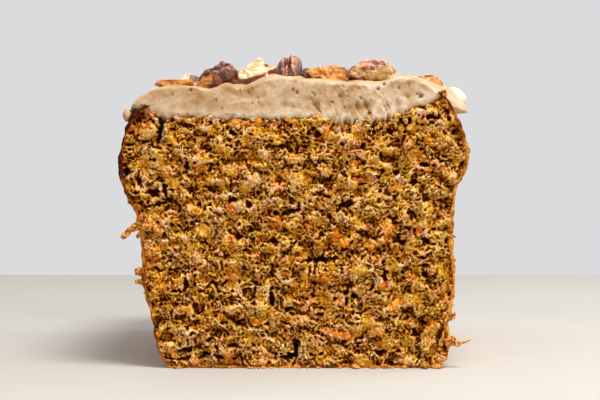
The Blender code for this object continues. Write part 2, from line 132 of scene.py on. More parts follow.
# Shreds of carrot in the cut: (x, z, length, half width, angle in degrees, bend in degrees).
CARROTS = [
    (-55.4, 87.7, 2.2, 0.9, 70, 30), (-15.8, 88.7, 3.2, 0.9, 80, 40), (-20.5, 87.7, 4.0, 0.8, 10, -30),
    (-27.0, 76.9, 2.6, 0.8, 30, 30), (-49.0, 69.7, 2.4, 0.8, 0, 30), (-25.9, 57.8, 3.4, 1.4, 60, 50),
    (-10.4, 67.9, 2.2, 0.6, 80, 20), (-9.4, 52.7, 4.6, 1.2, 65, 30), (-26.0, 41.6, 4.2, 0.5, -55, 20),
    (-29.5, 18.9, 2.0, 0.8, 20, 30), (-16.9, 16.7, 3.6, 1.0, -15, 40), (8.8, 84.8, 6.4, 0.8, 85, 30),
    (19.1, 74.0, 4.5, 0.8, 10, -40), (20.9, 67.9, 7.5, 0.6, -5, 20), (33.5, 65.3, 5.0, 0.6, 35, 60),
    (12.0, 48.2, 5.2, 1.4, 78, 40), (14.8, 45.2, 3.4, 1.2, 10, 20), (24.8, 43.8, 2.5, 0.9, 30, 40),
    (7.2, 32.2, 5.0, 0.6, 5, 25), (-6.1, 33.7, 2.6, 0.7, 20, 40), (14.0, 25.0, 2.4, 0.7, 60, 30),
    (33.5, 23.4, 6.0, 0.7, 62, 25), (12.4, 12.4, 10.5, 1.0, -14, 35), (-26.6, 4.9, 3.5, 0.8, 10, 30),
    (-51.5, 43.8, 4.2, 0.8, 50, 30), (-53.5, 50.9, 5.2, 1.0, -37, 20), (29.0, 29.6, 5.5, 1.0, 20, 30),
    (47.0, 16.0, 3.5, 0.6, 80, 30),
]
MORE_CARROTS = 34
CARROT_SEED = 23
CARROT_WIDENING = 1.15

# Torn flakes and strands at the sides: (root x, root z, tip x, tip z, half width, arch, set back).
# A negative arch sags.
FLAKES = [
    (-56.4, 51.2, -65.0, 46.7, 1.9, 1.7, 1.4), (-56.6, 49.4, -59.5, 46.9, 1.2, 0.5, 1.6),
    (-57.2, 54.6, -59.9, 53.0, 1.1, 0.2, 2.2), (-55.8, 33.6, -60.5, 35.0, 1.9, 0.3, 1.8),
    (-55.0, 31.2, -59.9, 31.3, 1.4, -0.2, 2.0), (-54.5, 27.6, -57.4, 26.8, 0.8, 0.2, 3.4),
    (51.6, 17.9, 55.6, 19.0, 1.8, 0.3, 1.4), (53.0, 22.6, 54.9, 23.0, 0.8, 0.1, 2.6),
    (53.8, 8.6, 61.0, 10.2, 0.8, -0.5, 1.8), (53.6, 48.0, 55.6, 47.0, 0.8, 0.1, 4.0),
    (54.2, 39.0, 56.0, 38.6, 0.8, 0.1, 4.0),
]
FLAKE_STEPS = 16
STRAND_SIDES = 12

# Lumps of crumb that are torn loose but hang on: (x, z, half width, half height, set back).
LUMPS = [
    (-57.0, 54.4, 1.7, 1.7, 0.4), (-55.2, 53.4, 1.8, 1.6, 0.0), (-58.4, 52.6, 1.3, 1.1, 0.8),
    (-55.8, 51.0, 1.8, 1.4, -0.4), (-53.6, 51.0, 1.7, 1.7, 0.0), (-51.8, 49.4, 1.7, 1.6, -0.2),
    (-53.4, 47.6, 1.7, 0.9, 0.4), (-59.6, 31.0, 0.9, 0.7, 2.2), (52.8, 9.4, 1.4, 1.3, 0.2),
    (54.6, 10.4, 1.2, 1.0, 0.8), (52.0, 18.4, 1.5, 1.6, 0.6), (50.2, 3.4, 1.9, 1.3, -0.4),
    (51.2, 99.2, 1.0, 1.2, -0.2), (56.2, 8.6, 1.3, 1.0, 1.2),
]

# Small air holes in the cut frosting: (x, z, radius).
AIR_HOLES = [
    (-40.0, 100.3, 0.45), (-58.7, 97.7, 0.4), (-60.5, 95.9, 0.35), (-22.3, 99.9, 0.3), (-3.2, 100.3, 0.45),
    (-1.8, 99.5, 0.5), (13.7, 98.1, 0.5), (21.2, 97.4, 0.45), (27.4, 100.6, 0.55), (29.5, 102.4, 0.5),
    (34.9, 101.0, 0.35), (41.4, 98.8, 0.4), (42.8, 98.1, 0.75), (10.8, 95.9, 0.45),
]
MORE_AIR_HOLES = 30

# Pecans: (x, set back from the cut, turn, pitch, roll, part, length, width, height), as in the solids.
SHOWN_PECANS = [
    (-48.0, 8.0, 4, -3, 0, (0.55, 0.6), 26, 13.0, 5.0),
    (-45.2, 21.5, 70, -14, 0, (0.4, 0.5), 24, 12.0, 7.0),
    (-31.4, 5.5, 8, -24, 10, (0.7, 1.0), 21.5, 11.5, 7.0),
    (-18.0, 7.0, -20, -20, -25, (0.5, 1.0), 23, 11.5, 8.0),
    (-12.8, 20.5, 40, -20, 0, (0.3, 0.6), 25, 12.0, 8.0),
    (-4.6, 12.0, 90, -34, 0, (0.5, 1.0), 22, 9.6, 8.4),
    (9.2, 8.0, 3, 2, 178, (0.65, 1.0), 23, 12.5, 8.2),
    (25.0, 7.5, -6, 3, 8, (0.6, 1.0), 24, 13.0, 7.8),
    (46.0, 24.0, 30, 8, 10, (0.32, 1.0), 24, 11.0, 6.0),
]
# Where shown pecans are broken: a place in mm from the middle of the piece, and the way the break faces.
PECAN_BREAKS = {
    1: [((0, 0, 0.8), (0, -0.08, 1)), ((0, -1.7, 0), (-0.2, -1, 0.05)), ((-5.8, 0, 0), (-1, -0.3, 0.4)),
        ((7.0, 0, 0), (1, -0.1, 0.2))],
    2: [((0, -1.0, 0), (0.1, -1, 0.25)), ((1.8, 0, 0), (0.9, -0.4, 0.4)), ((0, 0, 0.8), (-0.5, -0.3, 0.8))],
    3: [((7.4, -1, -3.4), (0.6, -0.5, -0.65)), ((1.6, -4.8, -3.4), (0.3, -0.7, -0.75)),
        ((-3.4, -3.4, -0.8), (-0.5, -0.8, -0.1))],
    4: [((-0.8, -1.4, 0.9), (-0.35, -0.75, 0.5))],
    5: [((0, -1.2, 0.2), (0.1, -1, 0.35)), ((0, 0, 1.8), (0.3, 0, 1))],
    7: [((0, -2.2, 3.1), (0.05, -0.2, 0.95)), ((0, -3.4, 0.8), (0.05, -0.8, 0.5))],
    8: [((0.6, -4.3, -2.5), (0.1, -0.8, -0.5)), ((-5.4, -1, 0), (-0.8, -0.6, 0.2))],
    9: [((0, -1.4, 0.4), (0, -0.9, 0.5))],
}
# How toasted the broken faces of shown pecans are, from pale to golden brown, and how light their skin is.
PECAN_TOAST = {1: 1.0, 2: 0.0, 3: 1.15, 4: -0.1, 5: 0.1, 6: 0.5, 7: 0.95, 8: 0.3, 9: 1.1}
# Nut 4's skin is made much lighter as painted light: its skin band faces down into shade.
PECAN_SKIN = {1: 0.5, 2: 0.8, 3: -0.3, 4: 2.4, 5: 0.6, 6: 0.5, 7: 0.2, 8: 0.9, 9: 0.7}
# How rough the breaks are, and how wrinkled the skin is, where they differ from the rest.
PECAN_BREAK_ROUGHNESS = {1: 0.3, 7: 2.3, 8: 1.5}
PECAN_WRINKLES = {3: 2.4, 6: 1.1, 8: 1.5}
PECAN_GROOVES = {6: 0.16}
MORE_PECANS = 21
BARE_LEFT, BARE_RIGHT, BARE_BACK = -37.0, 26.0, 62.0
PECAN_ROOM = 0.6
PECAN_SEED = 7
PECAN_HALVINGS = 24

LOOSE_CRUMBS = 34
BASE_CRUMBS = [(19.4, 1.3), (30.2, 1.0), (44.3, 1.5), (48.6, 1.2), (37.0, 0.8), (-14.0, 0.7), (2.0, 0.6)]

# The camera: its distance from the cut, its height, and how much of the cut plane the picture is wide.
CAMERA_DISTANCE = 620.0
CAMERA_HEIGHT = 78.0
CAMERA_X = -0.7
AIM_HEIGHT = 60.7
PICTURE_WIDTH = 216.0
SENSOR_WIDTH = 36.0


# Curves and noise

def curve_through(points):
    """A smooth function through (input, value) points, flat beyond its two ends."""
    at, value = np.array(points, float).T
    slope = np.gradient(value, at)

    def curve(a):
        a = np.clip(a, at[0], at[-1])
        i = np.clip(np.searchsorted(at, a, side="right") - 1, 0, len(at) - 2)
        step = at[i + 1] - at[i]
        f = (a - at[i]) / step
        return ((1 + 2 * f) * (1 - f) ** 2 * value[i] + f * f * (3 - 2 * f) * value[i + 1]
                + step * f * (1 - f) * ((1 - f) * slope[i] - f * slope[i + 1]))

    return curve


left_wall = curve_through(LEFT_WALL)
right_wall = curve_through(RIGHT_WALL)
crumb_top = curve_through(CRUMB_TOP)
height_along = curve_through(HEIGHT_ALONG)
frosting_top = curve_through(FROSTING_TOP)


def blend(a, b, share):
    return a + (b - a) * share


def smooth_step(low, high, value):
    share = np.clip((value - low) / (high - low), 0.0, 1.0)
    return share * share * (3 - 2 * share)


def rows_of(*columns):
    """Rows of numbers from columns of the same length, or from single numbers."""
    return np.stack(np.broadcast_arrays(*columns), -1).astype(float)


def wave(points, size, seed=0.0):
    """Smooth noise from -1 to 1 for rows of (x, y, z), with bumps about size mm across."""
    flat = (points / size + seed).reshape(-1, 3).tolist()
    return np.array([noise.noise(p) for p in flat]).reshape(points.shape[:-1])


def face_wave(x, z, size, seed):
    """Smooth noise over the cut plane."""
    return wave(rows_of(x, 0, z), size, seed)


def cells(points, size, seed=0.0):
    """For rows of (x, y, z): the distance from the walls between random cells, and a number of the cell."""
    flat = (points / size + seed).reshape(-1, 3).tolist()
    found = [noise.voronoi(p) for p in flat]
    inside = np.array([distances[1] - distances[0] for distances, _ in found])
    number = np.array([sum(places[0]) * 7.31 % 1.0 for _, places in found])
    return inside.reshape(points.shape[:-1]), number.reshape(points.shape[:-1])


def blurred(field, reach):
    """The field with each value averaged over its neighbours, twice, up to reach steps away."""
    window = np.ones(2 * reach + 1) / (2 * reach + 1)
    for _ in range(2):
        for axis in (0, 1):
            padding = [(reach, reach) if a == axis else (0, 0) for a in (0, 1)]
            padded = np.pad(field, padding, mode="edge")
            field = np.apply_along_axis(np.convolve, axis, padded, window, mode="valid")
    return field


# The loaf's form

def rounded(a, b, radius):
    """Where a point a and b mm inside two faces lies once the edge between them is round."""
    inside = (a < radius) & (b < radius)
    p = np.clip(radius - a, 0, radius)
    q = np.clip(radius - b, 0, radius)
    return (np.where(inside, radius - p * np.sqrt(1 - q * q / (2 * radius * radius)), a),
            np.where(inside, radius - q * np.sqrt(1 - p * p / (2 * radius * radius)), b))


def plan_points(left, right, far, across, along):
    """Points of a rounded rectangle that is square at the cut and round at the baked end."""
    width = right - left
    x = left + width * across
    y = blend(CUT, far, along)
    from_side = np.minimum(across, 1 - across) * width
    side, back = rounded(from_side, far - y, PLAN_CORNER)
    return x + (side - from_side) * np.where(across < 0.5, 1, -1), far - back


def loaf_points(across, along, up):
    """Points of the loaf, in mm, for shares from 0 to 1 of its width, length and height."""
    left = left_wall(up * LEFT_WALL[-1][0])
    right = right_wall(up * RIGHT_WALL[-1][0])
    widest = max(x for _, x in RIGHT_WALL) - min(x for _, x in LEFT_WALL)
    far = HALF_LENGTH - (widest - (right - left)) / 2
    x, y = plan_points(left, right, far, across, along)
    z = up * crumb_top(across) * blend(1, height_along(along), up)
    return rows_of(x, y, z)


def crust_relief(points):
    """How far the baked crust stands out of its smooth form, in mm."""
    return 0.5 * wave(points, 17) + 0.25 * wave(points + (40, 0, 0), 7)


def crumb_relief(points):
    """How far the torn crumb stands out of the cut plane, in mm, in its large forms."""
    x, z = points[..., 0], points[..., 2]
    lumps = np.abs(wave(rows_of(x * 0.8, 3, z * 1.3), 8)) + 0.5 * wave(rows_of(x, 11, z), 5)
    return 2.2 * lumps + 0.6 * wave(rows_of(x, 7, z), 22) - 0.7


# Meshes

def mesh_object(name, points, faces, **attributes):
    """A mesh of points in mm. Each attribute is one number for each point."""
    mesh = bpy.data.meshes.new(name)
    mesh.from_pydata(((points.reshape(-1, 3) + ORIGIN) * MM).tolist(), [], faces)
    for key, values in attributes.items():
        layer = mesh.attributes.new(key, "FLOAT", "POINT")
        layer.data.foreach_set("value", np.ravel(values).astype(np.float32))
    bm = bmesh.new()
    bm.from_mesh(mesh)
    bmesh.ops.recalc_face_normals(bm, faces=bm.faces)
    bm.to_mesh(mesh)
    bm.free()
    mesh.shade_smooth()
    obj = bpy.data.objects.new(name, mesh)
    bpy.context.scene.collection.objects.link(obj)
    return obj


def finish_piece(obj, material, slot, *nodes):
    obj.data.materials.append(material)
    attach(obj, "root")
    if nodes:
        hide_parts(*nodes)


def grid_faces(rows, columns):
    """The four-sided faces of a grid of points that are numbered row by row."""
    row, column = np.meshgrid(np.arange(rows - 1), np.arange(columns - 1), indexing="ij")
    first = row * columns + column
    return np.stack([first, first + 1, first + columns + 1, first + columns], -1).reshape(-1, 4).tolist()


def border_of(rows, columns):
    """The numbers of a grid's outer points, in order round it."""
    number = np.arange(rows * columns).reshape(rows, columns)
    return [*number[0, :-1], *number[:-1, -1], *number[-1, :0:-1], *number[:0:-1, 0]]


def band_faces(loop, following):
    """The faces between two closed loops of the same number of points."""
    count = len(loop)
    return [[int(loop[i]), int(loop[(i + 1) % count]), int(following[(i + 1) % count]), int(following[i])]
            for i in range(count)]


class Heap:
    """Many small closed shapes that are joined in one mesh."""

    def __init__(self):
        self.points, self.faces, self.tints = [], [], []
        self.count = 0

    def add(self, points, faces, tint=0.5):
        self.points.append(points)
        self.faces += [[self.count + corner for corner in face] for face in faces]
        self.tints.append(np.full(len(points), tint))
        self.count += len(points)

    def mesh(self, name):
        return mesh_object(name, np.concatenate(self.points), self.faces, tint=np.concatenate(self.tints))


def ball(subdivisions):
    """The points and faces of a ball of radius 1."""
    bm = bmesh.new()
    bmesh.ops.create_icosphere(bm, subdivisions=subdivisions, radius=1)
    points = np.array([v.co for v in bm.verts])
    faces = [[v.index for v in f.verts] for f in bm.faces]
    bm.free()
    return points, faces


def strand(path, half_widths, half_depths, roughness, seed):
    """A closed strip along a path: an oval section that is widest in the plane of the cut."""
    along = np.gradient(path, axis=0)
    along /= np.linalg.norm(along, axis=1)[:, None]
    across = np.cross(along, (0, 1, 0))
    across /= np.linalg.norm(across, axis=1)[:, None]
    depth = np.cross(across, along)
    rings = []
    for k in range(STRAND_SIDES):
        angle = 2 * math.pi * k / STRAND_SIDES
        rings.append(path + across * (half_widths * math.cos(angle))[:, None]
                     + depth * (half_depths * math.sin(angle))[:, None])
    points = np.stack(rings, 1)
    points += (points - path[:, None]) * (roughness * wave(points, 0.9, seed))[..., None] * 2
    number = np.arange(len(path) * STRAND_SIDES).reshape(-1, STRAND_SIDES)
    faces = [number[0, ::-1].tolist(), number[-1].tolist()]
    for ring, following in zip(number[:-1], number[1:]):
        faces += band_faces(ring, following)
    return points.reshape(-1, 3), faces


# The torn crumb of the cut face

def pocket_depth(x, z):
    """Torn pockets between the named holes, in mm."""
    wide = face_wave(x * 0.8, z * 1.15, 5.0, 61) + 0.5 * face_wave(x, z, 1.9, 63)
    small = face_wave(x * 0.9, z * 1.1, 2.4, 65) + 0.4 * face_wave(x, z, 1.1, 67)
    return np.maximum(2.4 * smooth_step(0.50, 0.80, wide), 1.6 * smooth_step(0.46, 0.70, small))


def hole_depth(points):
    """How deep the holes and pockets are at each point of the cut, in mm."""
    x, z = points[..., 0], points[..., 2]
    ragged = 1 + 0.75 * face_wave(x, z, 1.7, 71) + 0.6 * face_wave(x, z, 0.8, 91)
    depth = pocket_depth(x, z)
    for hole_x, hole_z, half_width, half_height, tilt, deep in [*HOLES, *SMALL_HOLES]:
        angle = math.radians(tilt)
        near = np.hypot(x - hole_x, z - hole_z) < 2 * max(half_width, half_height)
        dx, dz = x[near] - hole_x, z[near] - hole_z
        u = (dx * math.cos(angle) + dz * math.sin(angle)) / half_width
        v = (dz * math.cos(angle) - dx * math.sin(angle)) / half_height
        reach = np.hypot(u, v) * ragged[near]
        deepest = min(0.66 * deep, CRUMB_THICKNESS - 2.0)
        depth[near] = np.maximum(depth[near], deepest * (1 - smooth_step(0.3, 1.4, reach)))
    return depth


def lump_gaps(x, z):
    """1 in the torn gaps between lumps of crumb, which run down to the right, and steeper here and there."""
    bend_x, bend_z = 1.5 * face_wave(x, z, 4, 73), 1.5 * face_wave(x, z, 4, 75)
    x, z = x + bend_x, z + bend_z
    sloping = face_wave(0.65 * (0.91 * x - 0.42 * z), 1.3 * (0.42 * x + 0.91 * z), 5.2, 77)
    steep = face_wave(1.3 * (0.87 * x - 0.5 * z), 0.65 * (0.5 * x + 0.87 * z), 5.2, 79)
    turned = smooth_step(0.0, 0.3, face_wave(x, z, 28, 83) + 0.004 * x)
    ragged = 0.35 * face_wave(x, z, 1.5, 85)
    return smooth_step(0.16, 0.42, blend(sloping, steep, turned) + ragged)


def crumb_height(points):
    """How far the torn crumb stands out of the cut plane at each point, and how deep its holes are."""
    x, z = points[..., 0], points[..., 2]
    flat = rows_of(x, 0, z)
    bent = flat + 0.9 * rows_of(wave(flat, 3.0, 5), 0, wave(flat, 3.0, 9))
    walls = np.exp(-(wave(bent, 1.4, 31) / 0.13) ** 2)
    wide_walls = np.exp(-(wave(bent, 2.7, 33) / 0.13) ** 2)
    open_here = smooth_step(-0.3, 0.15, wave(flat, 5.5, 21))
    height = crumb_relief(points) + 1.3 * wave(bent * (0.85, 1, 1.2), 4.4, 13)
    height += blend(0.3, 1.35, open_here) * (walls - 0.5) + blend(0.25, 0.8, open_here) * (wide_walls - 0.5)
    height += 0.75 * np.abs(wave(bent + (7, 0, 3), 1.3, 37)) + 0.35 * wave(bent, 0.8, 35)
    height -= 1.5 * lump_gaps(x, z)
    return height, hole_depth(points)


def crumb_surface_y(x, z):
    """Where the torn face lies at (x, z), for what is set into it."""
    height, depth = crumb_height(rows_of(x, 0, z))
    return CUT - np.maximum(height - depth, -CRUMB_THICKNESS)


def make_crumb():
    share_across, share_up = np.meshgrid(np.linspace(0, 1, CRUMB_COLUMNS), np.linspace(0, 1, CRUMB_ROWS))
    width, tall = RIGHT_WALL[0][1] - LEFT_WALL[0][1], CRUMB_TOP[4][1]
    across = blend(RIM / width, 1 - RIM / width, share_across)
    up = blend(0.3 * RIM / tall, 1.0, share_up)
    points = loaf_points(across, 0, up)
    height, depth = crumb_height(points)
    edge = np.minimum(np.minimum(across, 1 - across) * width, points[..., 2])
    height = blend(-0.4, height, smooth_step(0.0, 1.3, edge))
    below_top = (1 - up) * tall
    height -= 0.9 * (1 - smooth_step(0, 2.5, below_top))
    surface = np.maximum(height - depth * smooth_step(0.2, 1.8, edge), -CRUMB_THICKNESS + 1)
    points[..., 1] = CUT - surface
    # Painted shade and light: the crumb's colour is darker in its small hollows, between its lumps and down
    # in its holes, and lighter on the tops of lumps.
    cavity = smooth_step(-0.9, 0.75, surface - blurred(surface, 2))
    lump = smooth_step(-2.0, 1.5, surface - blurred(surface, 8))
    dark = smooth_step(0.6, 3.0, depth)
    points[..., 0] += 0.12 * wave(points, 0.8, 3)
    points[..., 2] += 0.12 * wave(points, 0.8, 7) * smooth_step(0, 1, points[..., 2] - 0.3)
    rows, columns = across.shape
    border = border_of(rows, columns)
    flat = points.reshape(-1, 3)
    back = flat[border].copy()
    back[:, 1] = CUT + CRUMB_THICKNESS
    back_numbers = list(range(len(flat), len(flat) + len(back)))
    faces = grid_faces(rows, columns) + band_faces(border, back_numbers) + [back_numbers]
    everything = np.concatenate([flat, back])

    def padded(field, value):
        return np.concatenate([field.ravel(), np.full(len(back), value)])

    top_x, top_z, foot_x, foot_z, half_width = SLOT_SMEAR
    down = np.clip((top_z - points[..., 2]) / (top_z - foot_z), -0.2, 1.2)
    aside = np.abs(points[..., 0] - blend(top_x, foot_x, down) + 0.3 * wave(points, 1.5, 17))
    smear = (1 - smooth_step(0.5, 1.3, aside / half_width)) * (1 - smooth_step(0.6, 1.1, down))
    crust = 1 - smooth_step(0.6, 3.2, edge + 0.7 * wave(points, 2.5, 13))
    from_corner = np.hypot(points[..., 0] - CORNER[0], points[..., 2] - CORNER[1])
    crust = np.maximum(crust, 1.7 - 1.7 * smooth_step(2, 10, from_corner + 1.5 * wave(points, 2.5, 13)))
    return mesh_object("crumb_face", everything, faces, cavity=padded(cavity, 0.5), dark=padded(dark, 0),
                       lump=padded(lump, 0.5), crust=padded(crust, 1), smear=padded(smear, 0))


# The baked crust

CRUST_STEP = 0.95
CRUST_END_WIDTH = 112
CRUST_HEIGHT = 96
CRUST_FRONT_POINTS = 90


def crust_fine_relief(points):
    """Pits, bubbles and creases of the baked skin, in mm."""
    pits, number = cells(points, 2.6, 51)
    creases = np.abs(wave(points * (0.4, 0.4, 1.0), 6, 61))
    pebbles = wave(points, 2.2, 41) + 0.5 * wave(points, 1.1, 43)
    return (0.22 * pebbles - 0.35 * (1 - smooth_step(0, 0.06, creases))
            - 0.5 * smooth_step(0.25, 0.6, pits) * smooth_step(0.72, 0.95, number))


def make_crust():
    """The loaf's skin: side, baked end and side in one strip, closed above, below and behind the cut."""
    along = np.linspace(0, 1, int(LOAF_LENGTH / CRUST_STEP))
    end = np.linspace(0, 1, int(CRUST_END_WIDTH / CRUST_STEP))[1:-1]
    across = np.concatenate([np.zeros(len(along)), end, np.ones(len(along))])
    along = np.concatenate([along, np.ones(len(end)), along[::-1]])
    levels = np.linspace(0, 1, int(CRUST_HEIGHT / CRUST_STEP))
    across, up = np.meshgrid(across, levels)
    along = np.broadcast_to(along, across.shape)
    points = loaf_points(across, along, up)
    outward = rows_of(across - 0.5, along - 0.5, up - 0.5)
    outward /= np.linalg.norm(outward, axis=-1)[..., None]
    above_base = np.minimum(1, points[..., 2] / 12)
    points += outward * (crust_relief(points) * above_base)[..., None]
    normal = np.cross(np.gradient(points, axis=1), np.gradient(points, axis=0))
    normal /= np.maximum(np.linalg.norm(normal, axis=-1), 1e-9)[..., None]
    points += normal * (crust_fine_relief(points) * smooth_step(0, 3, points[..., 2]))[..., None]
    near_cut = (1 - smooth_step(0, 4, points[..., 1] - CUT)) * smooth_step(0, 2, points[..., 2])
    points += normal * (0.75 * wave(points, 2.1, 27) * near_cut)[..., None]
    points[0, :, 2] = 0
    rows, columns = across.shape
    number = np.arange(rows * columns).reshape(rows, columns)
    for column in (0, columns - 1):
        points[:, column, 1] = CUT + 0.3 * wave(points[:, column], 2.0, 81)

    front = np.linspace(1, 0, CRUST_FRONT_POINTS)[1:-1]
    top_edge = loaf_points(front, 0, 1.0)
    base_edge = loaf_points(front, 0, 0.0)
    parts = [points.reshape(-1, 3), top_edge, base_edge]
    first_top = rows * columns
    top_numbers = np.arange(first_top, first_top + len(front))
    base_numbers = top_numbers + len(front)
    outline = [*number[:, 0], *top_numbers[::-1], *number[::-1, -1], *base_numbers]
    outline_across = np.concatenate([np.zeros(rows), front[::-1], np.ones(rows), front])
    outline_up = np.concatenate([levels, np.ones(len(front)), levels[::-1], np.zeros(len(front))])
    width, tall = RIGHT_WALL[0][1] - LEFT_WALL[0][1], CRUMB_TOP[4][1]
    outline_points = loaf_points(outline_across, 0, outline_up)
    ragged = 0.85 + 1.3 * wave(outline_points, 11, 17) + 0.8 * wave(outline_points, 2.2, 18)
    ragged = np.clip(ragged, 0.35, 1.3)
    share = ragged / width
    rise = 0.7 * ragged / tall
    inner = loaf_points(np.clip(outline_across, share, 1 - share), 0, np.clip(outline_up, rise, 1 - rise))
    at_top = (outline_up == 1) & (outline_across > 0.02) & (outline_across < 0.98)
    inner[:, 1] = CUT - 0.2 + 0.4 * wave(inner, 1.6, 19) + 4.0 * at_top
    deep = inner.copy()
    deep[:, 1] = CUT + CRUMB_THICKNESS - 1
    inner_numbers = np.arange(len(inner)) + base_numbers[-1] + 1
    deep_numbers = inner_numbers + len(inner)
    faces = grid_faces(rows, columns)
    faces += band_faces(outline, inner_numbers) + band_faces(inner_numbers, deep_numbers)
    for loop in (deep_numbers, [*number[-1], *top_numbers], [*number[0], *base_numbers]):
        faces.append([int(i) for i in loop])
    return mesh_object("baked_crust", np.concatenate([*parts, inner, deep]), faces)


# Flakes, shreds and loose crumbs

def make_flakes():
    """Torn strands and lumps that hang on at the sides."""
    heap = Heap()
    share = np.linspace(0, 1, FLAKE_STEPS)
    for number, (root_x, root_z, tip_x, tip_z, half_width, arch, back) in enumerate(FLAKES):
        y = CUT + back - 0.6 * share
        path = rows_of(blend(root_x, tip_x, share), y, blend(root_z, tip_z, share))
        path[:, 2] += 4 * arch * share * (1 - share)
        widths = half_width * blend(1.0, 0.5, share) * (1 + 0.25 * wave(path, 1.8, number * 3.3))
        widths[-1] *= 0.6
        points, faces = strand(path, widths, widths * 0.6, 0.35, number * 1.7)
        heap.add(points, faces, tint=(number * 0.37) % 1.0)
    sphere, faces = ball(4)
    for number, (x, z, half_width, half_height, back) in enumerate(LUMPS):
        rough = 1 + 0.9 * np.abs(wave(sphere, 0.55, number * 6.1)) + 0.25 * wave(sphere, 0.3, number)
        points = sphere * (0.85 * rough)[:, None] * (half_width, 1.6, half_height)
        heap.add(points + (x, CUT + back, z), faces, tint=(number * 0.53) % 1.0)
    return heap.mesh("torn_flakes")


def random_carrots():
    draw = random.Random(CARROT_SEED)
    for _ in range(MORE_CARROTS):
        z = draw.uniform(4, 88)
        x = draw.uniform(-56, 51)
        length = draw.uniform(1.6, 5.0)
        streaky = math.exp(-((z - 35) / 26) ** 2)
        half_width = draw.uniform(0.4, 0.75)
        angle = draw.gauss(0, blend(60, 25, streaky))
        yield x, z, length, half_width, angle, draw.uniform(-50, 50)


def make_carrots():
    """Curved shreds of carrot that lie half in the torn crumb."""
    heap = Heap()
    for number, (x, z, length, half_width, angle, bend) in enumerate([*CARROTS, *random_carrots()]):
        steps = 5 + int(length * 2)
        share = np.linspace(-0.5, 0.5, steps)
        heading = np.radians(angle + bend * share)
        step = length / (steps - 1)
        px = np.cumsum(np.cos(heading)) * step
        pz = np.cumsum(np.sin(heading)) * step
        px += x - px.mean()
        pz += z - pz.mean()
        y = crumb_surface_y(px, pz)
        y = np.convolve(np.pad(y, 1, mode="edge"), (0.3, 0.4, 0.3), mode="valid")
        path = rows_of(px, y + 0.05, pz)
        half_widths = half_width * np.sqrt(np.clip(1.05 - (2 * share) ** 4, 0.1, 1))
        if number < len(CARROTS):
            half_widths *= CARROT_WIDENING
        points, faces = strand(path, half_widths, 0.35 * half_widths + 0.2, 0.7, number * 2.3)
        heap.add(points, faces, tint=(number * 0.618) % 1.0)
    return heap.mesh("carrot_shreds")


def make_loose_crumbs():
    """Crumbs that lie at the foot of the cut."""
    draw = random.Random(5)
    sphere, faces = ball(3)
    heap = Heap()
    spots = list(BASE_CRUMBS)
    spots += [(draw.uniform(-46, 50), draw.uniform(0.25, 0.6)) for _ in range(LOOSE_CRUMBS)]
    for number, (x, radius) in enumerate(spots):
        stretch = np.array([draw.uniform(0.9, 1.6), draw.uniform(0.8, 1.2), draw.uniform(0.6, 0.9)])
        rough = 1 + 0.35 * wave(sphere, 0.8, number * 4.1)
        points = sphere * rough[:, None] * stretch * radius
        points[:, 2] -= points[:, 2].min()
        points += (x, CUT - draw.uniform(0.6, 2.4), 0)
        heap.add(points, faces, tint=draw.random())
    return heap.mesh("loose_crumbs")


# The frosting

def swirl(x, y):
    """The knife's sweeps over the top, in mm, which fade out towards the cut."""
    sweep = np.sin((y + 0.35 * x + 9 * np.sin(x / 19)) / 6.2)
    lift = FROSTING_SWIRL * sweep + 0.8 * wave(rows_of(x, y, 5), 20)
    return lift * smooth_step(2, 26, y - CUT)


def frosting_points(across, along, up):
    """Points of the frosting's smooth form, in mm."""
    back_from_cut = along * LOAF_LENGTH
    left = min(x for _, x in LEFT_WALL) + 3.6 - FROSTING_OVERHANG * smooth_step(0, 30, back_from_cut)
    right_at_cut = RIGHT_WALL[-1][1] + 1.8
    right_behind = max(x for _, x in RIGHT_WALL) + 0.5 * FROSTING_OVERHANG
    right = blend(right_at_cut, right_behind, smooth_step(2, 16, back_from_cut))
    far = HALF_LENGTH - 1.5
    x, y = plan_points(left, right, far, across, along)
    from_side = np.minimum(across, 1 - across) * (right - left)
    hem = FROSTING_HEM * height_along(along) + FROSTING_HEM_WAVE * wave(rows_of(x, y, 3), 16)
    for side, middle, drop, half in FROSTING_TONGUES:
        tongue = drop * np.exp(-((back_from_cut - middle) / half) ** 2)
        hem = hem - np.where((across - 0.5) * side > 0, tongue, 0)
    hem = hem + FROSTING_HEM_RISE * smooth_step(0.75, 1, across) * (1 - smooth_step(4, 16, back_from_cut))
    hem = hem - FROSTING_ROOT * smooth_step(3, 12, np.minimum(from_side, far - y))
    top = frosting_top(x) * height_along(along) + swirl(x, y)
    side, below = rounded(from_side, (1 - up) * (top - hem), FROSTING_EDGE_RADIUS)
    x = x + (side - from_side) * np.where(across < 0.5, 1, -1)
    z = top - below
    from_end = np.maximum(far - y, 0.0)
    end, lower = rounded(from_end, top - z, FROSTING_EDGE_RADIUS)
    return rows_of(x, y - (end - from_end), top - lower)


def smear_reach(x, z):
    """How far the knife dragged frosting down over the crumb, in mm."""
    dragged = smooth_step(4, 12, x) * (1 - smooth_step(30, 42, x))
    strokes = face_wave(x, 0, 1.7, 5) + 0.6 * face_wave(x, 0, 0.8, 15)
    jagged = face_wave(x, z, 2.0, 27) + 0.7 * face_wave(x, z, 0.9, 28)
    reach = 0.5 + 0.8 * face_wave(x, 0, 4, 25) + jagged + dragged * np.maximum(0.6, 1.4 + 3.0 * strokes)
    return blend(reach, -0.4 + 0.4 * jagged, smooth_step(34, 43, x))


